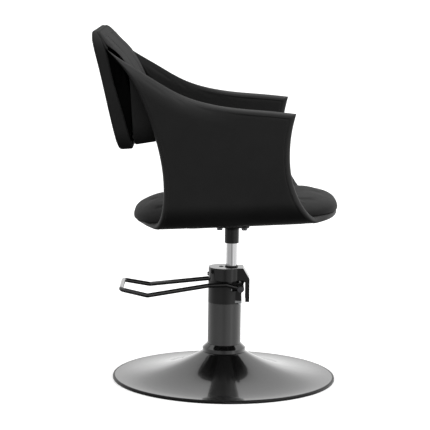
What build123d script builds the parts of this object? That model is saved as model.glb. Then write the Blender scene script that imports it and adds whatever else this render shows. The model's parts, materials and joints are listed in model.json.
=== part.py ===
from build123d import *
from math import cos, pi, sin
import os

# Styling chair on a round trumpet base with a foot-pumped hydraulic column.
# Millimetres.  The chair faces +X, +Z is up, and the origin is on the floor
# under the column's axis.  The chair is symmetric about the XZ plane.

# ---- base ----
BASE_R = 300.0            # outer radius of the base with its rim ring
RIM_H = 8.6               # height of the rim ring
RIM_IN = 286.0            # its inner radius, under the cover
RIM_ROUND = 4.0           # round of its top edge
DOME_EDGE_R = 294.0       # where the spun cover meets the rim ring
DOME_EDGE_Z = 8.5
DOME_T = 2.5              # thickness of the spun cover
COLLAR_R = 58.0
COLLAR_Z = 74.0           # underside of the collar, top of the flare
FLARE_POWER = 2.2         # how fast the cover flares towards the rim
PAD_T = 2.0               # floor pad
PLATE_R = 222.0
PLATE_T = 7.0
HUB_R = 110.0
HUB_Z = 34.0
NECK_R = 62.0
NECK_Z = 62.0
FOOT_Z = 12.0             # where the column's foot sits in the cast base
FOOT_BOLT_R = 30.0        # radius of the foot's bolt circle

# ---- hydraulic column ----
COLUMN_R = 44.5
COLUMN_BORE = 41.5
SEAM_Z = 209.0            # joint between barrel and pump head
SKIRT_Z = 267.5           # top of the pump head's outer wall
HOOD_Z = 305.0            # top of the hood
SHEET = 2.5               # hood sheet thickness
RAM_X = 17.0              # the ram stands this far in front of the column axis
RAM_R = 14.0
CYLINDER_R = 22.0         # ram cylinder, and the neck it stands in
BORE_R = 18.0             # bore of the cylinder and of the gland
CYLINDER_TOP = 216.0
BUSH_Z = 238.0            # guide bush, then the rod seal, then the gland ring
SEAL_Z = 290.0
GLAND_Z = 299.0
PISTON_Z = 90.0
PISTON_H = 18.0
WASHER_Z = 112.0          # top of the thrust washer, where the turning rod starts
PIVOT_X = 42.0            # pedal pivot, across the front of the pump head
PIVOT_Z = 254.0
PIVOT_R = 5.0
PUMP_X = 17.0             # small pump plunger and release valve
PUMP_Y = 31.0
VALVE_SCREW_X = 40.0
VALVE_SCREW_Y = 29.0
VALVE_Z = 218.0           # underside of the valve block
PLATE_Z = 211.5           # underside of its machined plate
GUIDE_R = 6.0             # plunger guide
GUIDE_TOP = 232.0
NOSE_HALF = 30.0          # half width of the hood's nose and tab
NOSE_X = 66.0             # front of the tab
TAB_Z = 214.0             # foot of the tab
HOOD_SCREW_Z = 285.0
PLUG_X = -10.0
RUN = 0.05                # radial running clearance
GAP = 0.1                 # assembly gap between parts that only touch

# ---- pedal ----
BAR_R = 6.0
BAR_BEND = 13.0           # bend radius of the bar
EYE_Y = 53.0              # middle of each eye on the pivot pin
EYE_W = 12.0
NUT_R = 8.6               # nuts on the pin's ends, outside the eyes
NUT_W = 7.4
NUT_Y = 67.8              # outer face of each nut
ROCKER_R = 8.0          # rocker hubs on the pivot pin
FINGER_Z = 263.7          # centre of the rocker finger's rounded tip
FINGER_R = 4.0
FINGER_GAP = 0.6          # free play between finger and plunger
FINGER_Y = (27.0, 34.0)
PLUNGER_TOP = FINGER_Z - FINGER_R - FINGER_GAP

# ---- seat ----
SEAT_TILT = 3.3           # degrees, front edge raised
SEAT_Z = 447.0            # underside of the arm shell above the ram axis
ARM_HALF = 285.0          # half width over the arms
WALL = 26.0               # upholstered wall thickness
FLOOR_T = 15.0            # shell thickness under the cushion
CORNER_R = 65.0           # outer bend between shell floor and sides
BOARD_T = 12.0
COVER_T = 6.0
CUSHION_TOP = 56.0        # crown of the cushion above the shell's underside
BOLT_PITCH = 66.0         # square bolt pattern of the seat flange
FLANGE_Z = 416.0
FLANGE_T = 8.0
SOCKET_R = 19.0
SOCKET_Z = 370.0          # lower end of the socket
CUSHION_L = 541.0         # cushion length and width
CUSHION_W = 500.0
CUSHION_POWER = 3.0       # its plan is a superellipse of this power
CUSHION_X = 9.5           # middle of the cushion, forward of the ram
INNER_R = 50.0            # inner bend between shell floor and sides
CUSHION_GAP = 1.0         # cushion to shell walls

# ---- backrest ----
BACK_HALF = 238.0
BACK_CORNER = 55.0
CORE_HALF = 212.0
BRACKET_X = -280.0
BRACKET_SCREWS_Z = (812.0, 840.0)

ALONG_Y = (0, 1, 0)


# ---- helpers ----
def rod(radius, z0, z1, x=0.0, y=0.0):
    """A vertical round bar."""
    return Pos(x, y, (z0 + z1) / 2) * Cylinder(radius, z1 - z0)


def tube(outer, inner, z0, z1, x=0.0, y=0.0):
    """A vertical tube."""
    return rod(outer, z0, z1, x, y) - rod(inner, z0 - 1, z1 + 1, x, y)


def cross_rod(radius, x, z, y0, y1):
    """A round bar across the chair."""
    return Pos(x, (y0 + y1) / 2, z) * Rot(90, 0, 0) * Cylinder(radius, y1 - y0)


def block(x0, x1, y0, y1, z0, z1):
    """A box between two corners."""
    size = (x1 - x0, y1 - y0, z1 - z0)
    return Pos((x0 + x1) / 2, (y0 + y1) / 2, (z0 + z1) / 2) * Box(*size)


def hexagon(radius, z0, z1, x=0.0, y=0.0):
    """A hexagonal bolt head or nut on a vertical axis."""
    return Pos(x, y, z0) * extrude(RegularPolygon(radius, 6), z1 - z0)


def side_face(points):
    """A flat face in the XZ plane from a closed run of straight lines."""
    corners = [(x, 0, z) for x, z in points]
    return make_face(Polyline(*corners, close=True))


def prism(face, y0, y1):
    """A face of the XZ plane drawn out across the chair."""
    return Pos(0, y0, 0) * extrude(face, y1 - y0, dir=ALONG_Y)


def spin(points, x=0.0):
    """A closed profile of straight lines turned about a vertical axis."""
    return Pos(x, 0, 0) * revolve(side_face(points), Axis.Z)


def mirrored(solid):
    """The solid and its twin on the other side of the chair."""
    return Compound([solid, mirror(solid, Plane.XZ)])


def on_square(make):
    """One solid at each corner of the seat flange's bolt square."""
    half = BOLT_PITCH / 2
    return Compound([make(RAM_X + i * half, j * half) for i in (-1, 1) for j in (-1, 1)])


def on_circle(make, radius, count):
    """One solid at each of count places on a circle about the column."""
    turns = [2 * pi * (k + 0.5) / count for k in range(count)]
    return Compound([make(radius * cos(a), radius * sin(a)) for a in turns])


def seated(solid):
    """Place a solid drawn flat at the origin onto the tilted underside of the seat."""
    return Pos(RAM_X, 0, SEAT_Z) * Rot(0, -SEAT_TILT, 0) * solid


# ---- base ----
def flare(radius):
    """Height of the cover's outer surface at a radius."""
    t = (DOME_EDGE_R - radius) / (DOME_EDGE_R - COLLAR_R)
    return DOME_EDGE_Z + (COLLAR_Z - DOME_EDGE_Z) * t ** FLARE_POWER


def base_dome():
    radii = [COLLAR_R, 75, 100, 140, 190, 240, DOME_EDGE_R]
    top = Spline(*[(r, 0, flare(r)) for r in radii])
    under = Spline(*[(r, 0, flare(r) - DOME_T) for r in radii])
    lip = COLUMN_R + 1
    outline = [
        top,
        Line((DOME_EDGE_R, 0, DOME_EDGE_Z), (DOME_EDGE_R, 0, DOME_EDGE_Z - DOME_T)),
        under,
        Line((COLLAR_R, 0, COLLAR_Z - DOME_T), (lip, 0, COLLAR_Z - DOME_T)),
        Line((lip, 0, COLLAR_Z - DOME_T), (lip, 0, COLLAR_Z)),
        Line((lip, 0, COLLAR_Z), (COLLAR_R, 0, COLLAR_Z)),
    ]
    return revolve(make_face(outline), Axis.Z)


def rim_ring():
    step_z = DOME_EDGE_Z - DOME_T - GAP
    edge = DOME_EDGE_R + GAP
    ring = spin([(RIM_IN, 0), (BASE_R - 2, 0), (BASE_R, 2), (BASE_R, RIM_H), (edge, RIM_H),
                 (edge, step_z), (RIM_IN, step_z)])
    rims = ring.edges().filter_by(GeomType.CIRCLE)
    return fillet([e for e in rims if e.radius > BASE_R - 0.01 and e.center().Z > RIM_H - 0.01], RIM_ROUND)


def floor_pad():
    return rod(PLATE_R - 4, 0, PAD_T)


def base_plate():
    plate = rod(PLATE_R, PAD_T, PAD_T + PLATE_T) + rod(HUB_R, PAD_T, HUB_Z) + rod(NECK_R, PAD_T, NECK_Z)
    plate -= rod(COLUMN_R + GAP, FOOT_Z, NECK_Z + 1)
    for hole in on_circle(lambda x, y: rod(4.3, 0, FOOT_Z + 1, x, y), FOOT_BOLT_R, 4):
        plate -= hole
    for recess in on_circle(lambda x, y: rod(9, 0, PAD_T + 6, x, y), FOOT_BOLT_R, 4):
        plate -= recess
    return plate


def base_bolts():
    def bolt(x, y):
        return hexagon(7.5, PAD_T + 0.5, PAD_T + 6, x, y) + rod(4, PAD_T + 5, 24, x, y)
    return on_circle(bolt, FOOT_BOLT_R, 4)


def base_collar():
    bore = COLUMN_R + GAP
    return spin([(bore, COLLAR_Z), (COLLAR_R - 1.5, COLLAR_Z), (COLLAR_R, COLLAR_Z + 1.5),
                 (COLLAR_R, 85), (COLLAR_R - 2, 87), (bore + 1.5, 96), (bore, 96)])


# ---- hydraulic column ----
def pump_barrel():
    return tube(COLUMN_R, COLUMN_BORE, FOOT_Z, SEAM_Z)


def pump_foot():
    foot = rod(COLUMN_BORE - GAP, FOOT_Z, 28)
    for hole in on_circle(lambda x, y: rod(4.05, FOOT_Z - 1, 25, x, y), FOOT_BOLT_R, 4):
        foot -= hole
    return foot


def ram_cylinder():
    return tube(CYLINDER_R, BORE_R, 28, CYLINDER_TOP, RAM_X)


def pump_head():
    """Cast head: floor with spigot, outer wall, ram neck, valve block and pivot lug."""
    floor = rod(COLUMN_R, SEAM_Z, 228) + rod(COLUMN_BORE - GAP, SEAM_Z - 12, SEAM_Z)
    wall = tube(COLUMN_R, COLUMN_BORE, 228, SKIRT_Z) - block(18, 60, -60, 60, 244, 300)
    neck = rod(CYLINDER_R, 228, HOOD_Z - SHEET - GAP, RAM_X)
    valve_block = block(26, 45, -34, 34, VALVE_Z, 244)
    valve_block = fillet(valve_block.edges().filter_by(Axis.Z).group_by(Axis.X)[-1], 3)
    lug = block(33, PIVOT_X + 9, -14, 14, 240, PIVOT_Z) + cross_rod(9, PIVOT_X, PIVOT_Z, -14, 14)
    head = floor + wall + neck + valve_block + lug
    head -= rod(RAM_R + 0.5, 190, 310, RAM_X)
    head -= rod(CYLINDER_R + RUN, 190, CYLINDER_TOP, RAM_X)
    head -= rod(BORE_R, BUSH_Z, 310, RAM_X)
    head -= cross_rod(PIVOT_R + 0.02, PIVOT_X, PIVOT_Z, -20, 20)
    head -= rod(GUIDE_R + GAP, 190, 240, PUMP_X, -PUMP_Y)
    head -= rod(4 + GAP, 212, 240, PUMP_X, PUMP_Y)
    for y in (-VALVE_SCREW_Y, VALVE_SCREW_Y):
        head -= rod(3.1, 210, 232, VALVE_SCREW_X, y)
    return head


def gland_bush():
    return tube(BORE_R - GAP, RAM_R + RUN, BUSH_Z, SEAL_Z, RAM_X)


def rod_seal():
    return tube(BORE_R - GAP, RAM_R + RUN, SEAL_Z, GLAND_Z, RAM_X)


def gland_ring():
    inner, outer, top = RAM_R + GAP, BORE_R - 0.6, HOOD_Z + 3
    return spin([(inner, GLAND_Z), (outer, GLAND_Z), (outer, top - 1), (outer - 1, top),
                 (inner + 1, top), (inner, top - 1)], RAM_X)


def release_valve():
    return hexagon(5.8, 228, 237, PUMP_X, PUMP_Y) + rod(4, 213, 229, PUMP_X, PUMP_Y)


def valve_plate():
    """Machined plate bolted under the valve block."""
    plate = block(26, 46, -35, 35, PLATE_Z, VALVE_Z)
    plate = fillet(plate.edges().filter_by(Axis.Z).group_by(Axis.X)[-1], 3)
    plate -= rod(COLUMN_R + GAP, 200, 220)
    for y in (-VALVE_SCREW_Y, VALVE_SCREW_Y):
        plate -= rod(3.1, 210, 220, VALVE_SCREW_X, y)
    return plate


def valve_screws():
    head = rod(4.5, PLATE_Z - 4, PLATE_Z, VALVE_SCREW_X, -VALVE_SCREW_Y)
    return mirrored(head + rod(3, PLATE_Z - 1, 230, VALVE_SCREW_X, -VALVE_SCREW_Y))


def plunger_guide():
    return tube(GUIDE_R, 3 + RUN, 198, GUIDE_TOP, PUMP_X, -PUMP_Y)


def plunger():
    stem = rod(3, 206, PLUNGER_TOP - 1, PUMP_X, -PUMP_Y)
    return stem + rod(5, PLUNGER_TOP - 4, PLUNGER_TOP, PUMP_X, -PUMP_Y)


def plunger_spring():
    """Open coil round the plunger, between the guide and the plunger's cap."""
    coil = Helix(pitch=4.2, height=21, radius=4.25)
    wire = coil ^ 0
    turn = sweep(Plane(origin=wire.position, z_dir=wire.z_axis.direction) * Circle(0.5), path=coil)
    return Pos(PUMP_X, -PUMP_Y, GUIDE_TOP + 0.8) * turn


def pivot_pin():
    return cross_rod(PIVOT_R, PIVOT_X, PIVOT_Z, -68, 68)


def pivot_nuts():
    nut = Pos(PIVOT_X, -NUT_Y, PIVOT_Z) * Rot(-90, 0, 0) * extrude(RegularPolygon(NUT_R, 6), NUT_W)
    nut -= cross_rod(PIVOT_R + 0.02, PIVOT_X, PIVOT_Z, -70, -50)
    return mirrored(nut)


def pump_hood():
    """Sheet hood: a round cap over the column and a nose that drops in front of the pivot."""
    inner_top = HOOD_Z - SHEET
    inner_x = NOSE_X - SHEET
    outer_nose = side_face([(0, 268), (0, HOOD_Z), (49, HOOD_Z), (NOSE_X, 276), (NOSE_X, TAB_Z),
                            (55, TAB_Z), (55, 268)])
    inner_nose = side_face([(-5, 190), (-5, inner_top), (47.8, inner_top), (inner_x, 275.3), (inner_x, 190)])
    hood = rod(COLUMN_R, 268, HOOD_Z) + prism(outer_nose, -NOSE_HALF, NOSE_HALF)
    hood -= rod(COLUMN_R - SHEET, 200, inner_top)
    hood -= prism(inner_nose, SHEET - NOSE_HALF, NOSE_HALF - SHEET)
    arch = side_face([(20, 200), (20, 270), (36, 272), (48, 272), (55, 264), (55, 200)])
    hood -= prism(arch, -70, 70)
    hood -= rod(BORE_R, 290, 320, RAM_X)
    hood -= rod(6.2, 290, 320, PLUG_X)
    hood -= Pos(-42, 0, HOOD_SCREW_Z) * Rot(0, 90, 0) * Cylinder(2.6, 10)
    return hood


def oil_plug():
    plug = rod(5.8, HOOD_Z - SHEET, HOOD_Z + 0.8, PLUG_X)
    return plug - rod(3, HOOD_Z - 1.5, HOOD_Z + 2, PLUG_X)


def hood_screw():
    head = Pos(-46, 0, HOOD_SCREW_Z) * Rot(0, 90, 0) * Cylinder(5, 3)
    shank = Pos(-38, 0, HOOD_SCREW_Z) * Rot(0, 90, 0) * Cylinder(2.5, 14)
    return head + shank


# ---- pedal ----
def link(x0, z0, r0, x1, z1, r1, y0, y1):
    """Flat lever plate: the hull of two rounds in side view."""
    rounds = Pos(x0, z0) * Circle(r0) + Pos(x1, z1) * Circle(r1)
    return Pos(0, y1, 0) * Rot(90, 0, 0) * extrude(make_hull(rounds.edges()), y1 - y0)


def pedal_yoke():
    """Rocker on the pivot pin: fingers press the pump plunger and the release valve."""
    bar_x, bar_z = PIVOT_X + 9.6, PIVOT_Z + 11.5
    yoke = cross_rod(4, bar_x, bar_z, -24, 24)
    for side in (-1, 1):
        hub = sorted((side * 14.5, side * (EYE_Y - EYE_W / 2)))
        yoke += cross_rod(ROCKER_R, PIVOT_X, PIVOT_Z, *hub)
        yoke += link(PIVOT_X, PIVOT_Z, ROCKER_R, bar_x, bar_z, 4, *sorted((side * 16, side * 24)))
        finger = sorted(side * y for y in FINGER_Y)
        yoke += link(PIVOT_X, PIVOT_Z, ROCKER_R, 27, FINGER_Z, FINGER_R, *finger)
        yoke += link(27, FINGER_Z, FINGER_R, PUMP_X, FINGER_Z, FINGER_R, *finger)
    return yoke - cross_rod(PIVOT_R + RUN, PIVOT_X, PIVOT_Z, -70, 70)


def pedal_bar():
    """U-shaped foot bar round the column, with an eye on each end of the pivot pin."""
    near = [(PIVOT_X, -EYE_Y, PIVOT_Z), (4, -54, 264), (-45, -56, 262), (-205, -85, 238.5),
            (-276, -73, 252)]
    far = [(x, -y, z) for x, y, z in reversed(near)]
    path = FilletPolyline(*near, *far, radius=BAR_BEND)
    bar = sweep(Plane(origin=path @ 0, z_dir=path % 0) * Circle(BAR_R), path=path)
    for side in (-1, 1):
        eye = sorted((side * (EYE_Y - EYE_W / 2), side * (EYE_Y + EYE_W / 2)))
        bar += cross_rod(9.5, PIVOT_X, PIVOT_Z, *eye)
    return bar - cross_rod(PIVOT_R + RUN, PIVOT_X, PIVOT_Z, -70, 70)


# ---- ram: slides in the cylinder, carries the turning seat ----
def ram_piston():
    piston = rod(BORE_R - RUN, PISTON_Z, PISTON_Z + PISTON_H, RAM_X)
    return piston - tube(BORE_R + 2, BORE_R - 2, PISTON_Z + 7, PISTON_Z + 11, RAM_X)


def piston_seal():
    return tube(BORE_R - 0.02, BORE_R - 1.98, PISTON_Z + 7.1, PISTON_Z + 10.9, RAM_X)


def thrust_washer():
    return rod(RAM_R - 1, PISTON_Z + PISTON_H, WASHER_Z, RAM_X)


# ---- seat support ----
def ram_rod():
    return rod(RAM_R, WASHER_Z, FLANGE_Z, RAM_X)


def seat_socket():
    """Cast socket over the ram's top with a filleted square flange."""
    sleeve = rod(SOCKET_R, SOCKET_Z, FLANGE_Z + 1, RAM_X)
    flange = Pos(RAM_X, 0, FLANGE_Z) * extrude(RectangleRounded(92, 92, 12), FLANGE_T)
    socket = sleeve + flange
    rims = [e for e in socket.edges().filter_by(GeomType.CIRCLE) if e.radius > SOCKET_R - 1]
    root = [e for e in rims if abs(e.center().Z - FLANGE_Z) < 1 and e.radius < SOCKET_R + 1]
    socket = fillet(root, 11)
    socket -= rod(RAM_R + 0.02, SOCKET_Z - 10, FLANGE_Z, RAM_X)
    for hole in on_square(lambda x, y: rod(4.3, 400, 430, x, y)):
        socket -= hole
    return socket


def flange_bolts():
    def bolt(x, y):
        washer = rod(8.5, FLANGE_Z - 2, FLANGE_Z, x, y)
        return hexagon(7.5, FLANGE_Z - 7, FLANGE_Z - 2, x, y) + washer + rod(4, FLANGE_Z - 1, 470, x, y)
    return on_square(bolt)


def bolt_holes(solid, radius):
    """The solid with the four seat bolts' holes cut through it."""
    for hole in on_square(lambda x, y: rod(radius, 400, 500, x, y)):
        solid -= hole
    return solid


def seat_bracket():
    """Wedge between the level flange and the tilted seat."""
    body = block(RAM_X - 62, RAM_X + 62, -50, 50, FLANGE_Z + FLANGE_T, SEAT_Z + 20)
    body -= seated(block(-200, 200, -200, 200, -COVER_T, 100))
    body -= block(RAM_X - 18, RAM_X + 18, -40, 40, 400, 434)
    return bolt_holes(body, 4.2)


def dust_cover():
    board = extrude(RectangleRounded(344, 380, 40), COVER_T)
    return bolt_holes(seated(Pos(36, 0, -COVER_T) * board), 4.3)


def cover_screws():
    places = [(x, y) for x in (-122, 36, 194) for y in (-160, 160)]
    return Compound([seated(Pos(x, y, 0) * rod(4, -8, -COVER_T)) for x, y in places])


def seat_board():
    board = extrude(RectangleRounded(330, 360, 50), BOARD_T)
    return bolt_holes(seated(Pos(25, 0, FLOOR_T) * board), 6.1)


def tee_nuts():
    def nut(x, y):
        return rod(6, 465, 471, x, y) - rod(4.1, 460, 480, x, y)
    return on_square(nut)


# ---- upholstery ----
def tub(half, floor, corner, rear_inset):
    """Tall tub with a rounded foot; its plan closes in towards the back."""
    shrink = ARM_HALF - half
    side = [(255, half), (-77, half), (-177, 281.5 - shrink), (-267, 272 - shrink),
            (-305, 260 - shrink), (-334, 241 - shrink)]
    rear = -346 + rear_inset
    near = Spline(*[(x, -y, 0) for x, y in side[1:]], tangents=((-1, 0, 0), (-0.75, 0.66, 0)))
    far = Spline(*[(x, y, 0) for x, y in side[1:]], tangents=((-1, 0, 0), (-0.75, -0.66, 0)))
    end_near = near @ 1
    end_far = far @ 1
    outline = [
        Line((320, -half, 0), (-77, -half, 0)), near,
        Line(end_near, (rear, end_near.Y + 12, 0)),
        Line((rear, end_near.Y + 12, 0), (rear, end_far.Y - 12, 0)),
        Line((rear, end_far.Y - 12, 0), end_far), far,
        Line((-77, half, 0), (320, half, 0)), Line((320, half, 0), (320, -half, 0)),
    ]
    solid = Pos(0, 0, floor) * extrude(make_face(outline), 560)
    foot = solid.edges().group_by(Axis.Z)[0]
    long_edges = [e for e in foot if abs(e.center().Y) > 100]
    return fillet(long_edges, corner)


def arm_profile():
    """Side outline of the shell: swept arms that run up into the back."""
    front = Spline((172, 0, 743), (163, 0, 703), (158, 0, 640), (162, 0, 590), (177, 0, 539),
                   (208, 0, 484), (247, 0, 452))
    rear = Spline((-190, 0, 430), (-167, 0, 470), (-160, 0, 547), (-169, 0, 623), (-203, 0, 735),
                  (-254, 0, 835), (-311, 0, 897))
    top = Spline((-311, 0, 900), (-268, 0, 870), (-196, 0, 828), (-121, 0, 787), (-33, 0, 762),
                 (30, 0, 754), (105, 0, 749), (172, 0, 743))
    outline = [front, Line((247, 0, 452), (247, 0, 400)), Line((247, 0, 400), (-190, 0, 400)),
               Line((-190, 0, 400), (-190, 0, 430)), rear, Line((-311, 0, 897), (-311, 0, 900)), top]
    return prism(make_face(outline), -300, 300)


def arm_shell():
    outer = tub(ARM_HALF, 0, CORNER_R, 0)
    inner = tub(ARM_HALF - WALL, FLOOR_T, INNER_R, 12)
    shell = seated(outer - inner) & arm_profile()
    return bolt_holes(shell, 4.3)


def cushion_plan(inset):
    """Plan of the seat: a superellipse, broad across the middle and round at the nose."""
    a, b = CUSHION_L / 2 - inset, CUSHION_W / 2 - inset
    corners = []
    for k in range(24):
        c, s = cos(2 * pi * k / 24), sin(2 * pi * k / 24)
        r = (abs(c / a) ** CUSHION_POWER + abs(s / b) ** CUSHION_POWER) ** (-1 / CUSHION_POWER)
        corners.append((r * c, r * s))
    return Pos(CUSHION_X, 0, 0) * make_face(Spline(*corners, periodic=True))


def seat_cushion():
    """Cushion that fills the shell between its walls and hangs past it front and rear."""
    pad = extrude(cushion_plan(0), CUSHION_TOP - FLOOR_T)
    pad = fillet(pad.edges().group_by(Axis.Z)[-1], 18)
    pad = fillet(pad.edges().group_by(Axis.Z)[0], 15)
    room = tub(ARM_HALF - WALL - CUSHION_GAP, FLOOR_T, INNER_R, 12)
    pad = seated((Pos(0, 0, FLOOR_T) * pad) & room)
    pocket = seated(Pos(25, 0, FLOOR_T - 1) * extrude(RectangleRounded(331, 361, 50.5), BOARD_T + 1.5))
    return pad - pocket


def under_pad(x0, x1):
    """Upholstered boxing under the cushion where it hangs past the shell."""
    pad = Pos(0, 0, -6) * extrude(cushion_plan(22), FLOOR_T + 6)
    strip = block(x0, x1, -300, 300, -20, 60)
    return seated(pad & strip) - arm_profile()


def front_boxing():
    return under_pad(231, 300)


def rear_boxing():
    return under_pad(-300, -207)


# ---- backrest ----
def back_outline():
    """Rounded front view of the backrest, as a prism along X."""
    low, high = 638, 941
    plan = RectangleRounded(2 * BACK_HALF, high - low, BACK_CORNER)
    return Pos(-400, 0, (low + high) / 2) * Rot(0, 90, 0) * Rot(0, 0, 90) * extrude(plan, 300)


def back_rear_pad():
    side = side_face([(-333, 940), (-343, 934), (-345, 922), (-333, 860), (-316, 799), (-298, 722),
                      (-281, 656), (-271, 643), (-258, 638), (-252, 641), (-250, 647), (-267, 711),
                      (-285, 778), (-302, 838), (-317, 893), (-309, 906)])
    return prism(side, -BACK_HALF, BACK_HALF) & back_outline()


def back_front_pad():
    side = side_face([(-332.8, 940.4), (-308.6, 906.4), (-291, 895), (-269, 868), (-245, 782),
                      (-244, 654), (-233, 653), (-180, 663), (-205, 735), (-231, 800), (-243, 835),
                      (-252, 860), (-270, 887), (-284, 899), (-297, 915), (-310, 928), (-322, 937)])
    return prism(side, -BACK_HALF, BACK_HALF) & back_outline()


def back_core():
    """Dark inner frame between the two pads; its foot shows under them."""
    side = side_face([(-313, 888), (-296, 890), (-271, 864), (-247, 780), (-246, 648), (-248.5, 648),
                      (-265.5, 711), (-283.5, 778), (-300.5, 838)])
    core = prism(side, -CORE_HALF, CORE_HALF)
    for z in BRACKET_SCREWS_Z:
        for side in (-1, 1):
            core -= cross_rod(2.6, BRACKET_X, z, *sorted((side * 190, side * 220)))
    return core


def back_brackets():
    """Steel plates on the core's ends that carry a boss for each arm tip."""
    plate = block(BRACKET_X - 8, BRACKET_X + 8, -216, -CORE_HALF, 800, 868)
    plate += cross_rod(5, BRACKET_X - 2, 867, -231, -216)
    for z in BRACKET_SCREWS_Z:
        plate -= cross_rod(2.6, BRACKET_X, z, -220, -200)
    return mirrored(plate)


def back_screws():
    screws = []
    for z in BRACKET_SCREWS_Z:
        screws.append(cross_rod(4.5, BRACKET_X, z, -218.5, -216) + cross_rod(2.5, BRACKET_X, z, -217, -192))
    return mirrored(Compound(screws))


NODES = {
    "rim_ring": rim_ring, "base_dome": base_dome, "floor_pad": floor_pad, "base_plate": base_plate,
    "base_bolts": base_bolts, "base_collar": base_collar, "pump_barrel": pump_barrel,
    "pump_foot": pump_foot, "ram_cylinder": ram_cylinder, "pump_head": pump_head,
    "gland_bush": gland_bush, "rod_seal": rod_seal, "gland_ring": gland_ring,
    "release_valve": release_valve, "valve_plate": valve_plate, "valve_screws": valve_screws,
    "plunger_guide": plunger_guide, "plunger": plunger, "plunger_spring": plunger_spring,
    "pivot_pin": pivot_pin, "pivot_nuts": pivot_nuts, "pump_hood": pump_hood, "oil_plug": oil_plug,
    "hood_screw": hood_screw, "ram_piston": ram_piston, "piston_seal": piston_seal,
    "thrust_washer": thrust_washer, "ram_rod": ram_rod, "seat_socket": seat_socket,
    "flange_bolts": flange_bolts, "seat_bracket": seat_bracket, "dust_cover": dust_cover,
    "cover_screws": cover_screws, "seat_board": seat_board, "tee_nuts": tee_nuts,
    "arm_shell": arm_shell, "seat_cushion": seat_cushion, "front_boxing": front_boxing,
    "rear_boxing": rear_boxing, "back_rear_pad": back_rear_pad, "back_front_pad": back_front_pad,
    "back_core": back_core, "back_brackets": back_brackets, "back_screws": back_screws,
    "pedal_yoke": pedal_yoke, "pedal_bar": pedal_bar,
}

os.makedirs("parts", exist_ok=True)
for name, make in NODES.items():
    export_step(make(), f"parts/{name}.step")
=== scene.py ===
"""Styling chair: how it looks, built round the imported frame.

Metres, in the frame's own axes: the chair faces +X, +Z is up, and it is symmetric about the XZ plane.
"""
import json
import math

import bmesh
import bpy
import numpy as np
from mathutils import Matrix, Vector


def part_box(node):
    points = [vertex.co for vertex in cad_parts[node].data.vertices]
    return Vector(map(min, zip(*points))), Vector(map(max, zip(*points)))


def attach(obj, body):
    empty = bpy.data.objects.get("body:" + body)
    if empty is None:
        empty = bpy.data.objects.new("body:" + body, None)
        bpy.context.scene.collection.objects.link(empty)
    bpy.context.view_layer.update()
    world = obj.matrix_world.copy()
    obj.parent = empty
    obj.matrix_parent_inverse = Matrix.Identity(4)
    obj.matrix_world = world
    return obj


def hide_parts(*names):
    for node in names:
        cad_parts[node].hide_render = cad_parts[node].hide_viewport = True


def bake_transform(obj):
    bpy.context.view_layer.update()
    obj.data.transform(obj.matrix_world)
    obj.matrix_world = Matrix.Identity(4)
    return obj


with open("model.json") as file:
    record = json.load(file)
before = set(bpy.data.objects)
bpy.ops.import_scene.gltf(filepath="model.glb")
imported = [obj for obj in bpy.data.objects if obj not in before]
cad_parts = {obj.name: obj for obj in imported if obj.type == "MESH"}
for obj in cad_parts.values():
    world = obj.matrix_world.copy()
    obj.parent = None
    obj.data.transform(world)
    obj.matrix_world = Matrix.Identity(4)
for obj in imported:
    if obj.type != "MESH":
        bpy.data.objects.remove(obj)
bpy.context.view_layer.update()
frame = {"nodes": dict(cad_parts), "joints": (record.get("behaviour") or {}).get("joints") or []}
NODES = frame["nodes"]
JOINTS = {j["name"]: j for j in frame["joints"]}

# ---- seat: driving sizes ----
RAM_X = JOINTS["seat_swivel"]["pos_m"][0]
SEAT_TILT = math.radians(3.3)     # front edge raised
SEAT_Z = 0.447                    # underside of the shell above the ram
ARM_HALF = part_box("arm_shell")[1].y
WALL = 0.026                      # thickness of the upholstered sides
FLOOR_T = 0.015                   # thickness of the shell under the cushion
FLOOR_ROUND = 0.008               # edge rounding there
BEND_OUT = 0.065                  # outer bend from floor to side
BEND_IN = 0.050                   # inner bend
FLAT = ARM_HALF - BEND_OUT        # half width of the flat floor
BEND_LENGTH = BEND_OUT * math.pi / 2

# Side outlines of the shell, (x, z) in the row frame.
FRONT_EDGE = [(0.208, 0.484), (0.177, 0.539), (0.162, 0.590), (0.158, 0.640), (0.163, 0.703),
              (0.172, 0.743)]
REAR_EDGE = [(-0.167, 0.470), (-0.160, 0.547), (-0.169, 0.623), (-0.203, 0.735), (-0.254, 0.835),
             (-0.311, 0.899)]
TOP_EDGE = [(-0.311, 0.899), (-0.268, 0.870), (-0.196, 0.828), (-0.121, 0.787), (-0.033, 0.762),
            (0.030, 0.754), (0.105, 0.749), (0.172, 0.743)]
# Lips of the floor in front of and behind the bend, (x, distance from the middle).
FRONT_LIP = [(0.294, 0.0), (0.2935, 0.05), (0.287, 0.115), (0.256, 0.200), (0.243, 0.220)]
REAR_LIP = [(-0.240, 0.0), (-0.238, 0.05), (-0.229, 0.09), (-0.206, 0.175), (-0.190, 0.220)]

HORN_ROLL = 0.016                 # extra roll of the top edge towards the back
HORN_LEAN = 0.017                 # how far the outer face leans in at the top of each arm's rear half
LEAN_BAND = 0.045                 # height of the band that leans
LEATHER_SEAM = 0.0150             # border seam of the shell, from its edge
SEAM_DEPTH = 0.0009               # groove of any seam, and half its width on the shell
SEAM_WIDTH = 0.0011
STITCH = 0.0044                   # length of a stitch
STITCH_GAP = 0.0060               # from one stitch's middle to the next
STITCH_SIDE = 0.0035              # from a seam to the row of stitches beside it, on the pads
THREAD_R = 0.0005


# ---- curves ----
CURVE_SAMPLES = 200


def run_length(points):
    """Distance along a line of points, at each of them."""
    return np.concatenate([[0.0], np.cumsum(np.linalg.norm(np.diff(points, axis=0), axis=1))])


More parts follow.
